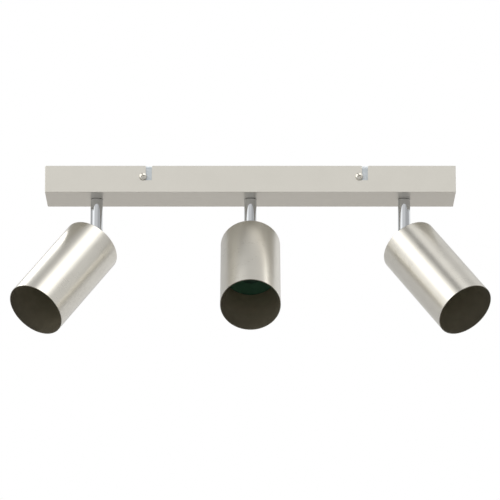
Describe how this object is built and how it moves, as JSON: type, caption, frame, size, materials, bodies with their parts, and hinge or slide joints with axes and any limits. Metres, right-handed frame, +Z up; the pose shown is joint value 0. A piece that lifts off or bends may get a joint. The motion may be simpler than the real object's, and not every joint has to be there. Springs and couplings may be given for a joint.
{
  "type": "ceiling spotlight bar",
  "caption": "Ceiling light bar with adjustable cylinder spots that turn on short stems and tilt on knuckle joints.",
  "frame": {"origin": "middle of the bracket's top face, which lies against the ceiling", "axes": "+X along the bar, +Z up into the ceiling, -Y towards the side that the spots face at rest"},
  "size_m": [0.4628, 0.1322, 0.1691],
  "materials": {
    "brushed_nickel": "satin nickel plating, brushed along the length",
    "chrome": "polished",
    "galvanised_steel": "galvanised, dull",
    "zinc_plated_steel": "zinc plated",
    "black_paint": "matt black",
    "black_plastic": "moulded nylon",
    "lamp_holder_black": "black heat-proof moulding",
    "grommet_rubber": "matt",
    "terminal_polyamide": "moulded polyamide",
    "lead_sleeve": "silicone sleeve",
    "earth_lead_insulation": "green and yellow PVC insulation"
  },
  "bodies": {
    "bar": {"canopy_cover": "brushed_nickel", "mounting_bracket": "galvanised_steel", "cover_screw_front_left": "brushed_nickel", "cover_screw_front_right": "brushed_nickel", "cover_screw_back_left": "brushed_nickel", "cover_screw_back_right": "brushed_nickel", "cable_grommet": "grommet_rubber", "terminal_block": "terminal_polyamide", "terminal_block_screw": "zinc_plated_steel", "earth_screw": "zinc_plated_steel", "earth_lead": "earth_lead_insulation", "lamp_lead_left": "lead_sleeve", "lamp_lead_centre": "lead_sleeve", "lamp_lead_right": "lead_sleeve"},
    "swivel_left": {"friction_washer_left": "black_plastic", "stem_left": "chrome", "stem_nipple_left": "zinc_plated_steel", "spring_washer_left": "zinc_plated_steel", "lock_nut_left": "zinc_plated_steel", "knuckle_upper_left": "chrome", "hinge_screw_left": "zinc_plated_steel", "hinge_nut_left": "zinc_plated_steel"},
    "head_left": {"knuckle_lower_left": "chrome", "shade_left": "brushed_nickel", "holder_bracket_left": "galvanised_steel", "head_nut_left": "zinc_plated_steel", "head_lead_left": "lead_sleeve", "baffle_plate_left": "black_paint", "lamp_holder_left": "lamp_holder_black"},
    "swivel_centre": {"friction_washer_centre": "black_plastic", "stem_centre": "chrome", "stem_nipple_centre": "zinc_plated_steel", "spring_washer_centre": "zinc_plated_steel", "lock_nut_centre": "zinc_plated_steel", "knuckle_upper_centre": "chrome", "hinge_screw_centre": "zinc_plated_steel", "hinge_nut_centre": "zinc_plated_steel"},
    "head_centre": {"knuckle_lower_centre": "chrome", "shade_centre": "brushed_nickel", "holder_bracket_centre": "galvanised_steel", "head_nut_centre": "zinc_plated_steel", "head_lead_centre": "lead_sleeve", "baffle_plate_centre": "black_paint", "lamp_holder_centre": "lamp_holder_black"},
    "swivel_right": {"friction_washer_right": "black_plastic", "stem_right": "chrome", "stem_nipple_right": "zinc_plated_steel", "spring_washer_right": "zinc_plated_steel", "lock_nut_right": "zinc_plated_steel", "knuckle_upper_right": "chrome", "hinge_screw_right": "zinc_plated_steel", "hinge_nut_right": "zinc_plated_steel"},
    "head_right": {"knuckle_lower_right": "chrome", "shade_right": "brushed_nickel", "holder_bracket_right": "galvanised_steel", "head_nut_right": "zinc_plated_steel", "head_lead_right": "lead_sleeve", "baffle_plate_right": "black_paint", "lamp_holder_right": "lamp_holder_black"}
  },
  "joints": [
    {"name": "left_swivel", "type": "hinge", "parent": "bar", "child": "swivel_left", "pos_m": [-0.1505, 0, -0.0265], "axis": [0, 0, 1], "range_deg": [-130, 220]},
    {"name": "left_tilt", "type": "hinge", "parent": "swivel_left", "child": "head_left", "pos_m": [-0.1505, 0, -0.0675], "axis": [0.7071, -0.7071, 0], "range_deg": [-46, 44]},
    {"name": "centre_swivel", "type": "hinge", "parent": "bar", "child": "swivel_centre", "pos_m": [0, 0, -0.0265], "axis": [0, 0, 1], "range_deg": [-175, 175]},
    {"name": "centre_tilt", "type": "hinge", "parent": "swivel_centre", "child": "head_centre", "pos_m": [0, 0, -0.0675], "axis": [1, 0, 0], "range_deg": [-46, 44]},
    {"name": "right_swivel", "type": "hinge", "parent": "bar", "child": "swivel_right", "pos_m": [0.1505, 0, -0.0265], "axis": [0, 0, 1], "range_deg": [-220, 130]},
    {"name": "right_tilt", "type": "hinge", "parent": "swivel_right", "child": "head_right", "pos_m": [0.1505, 0, -0.0675], "axis": [0.7071, 0.7071, 0], "range_deg": [-46, 44]}
  ]
}
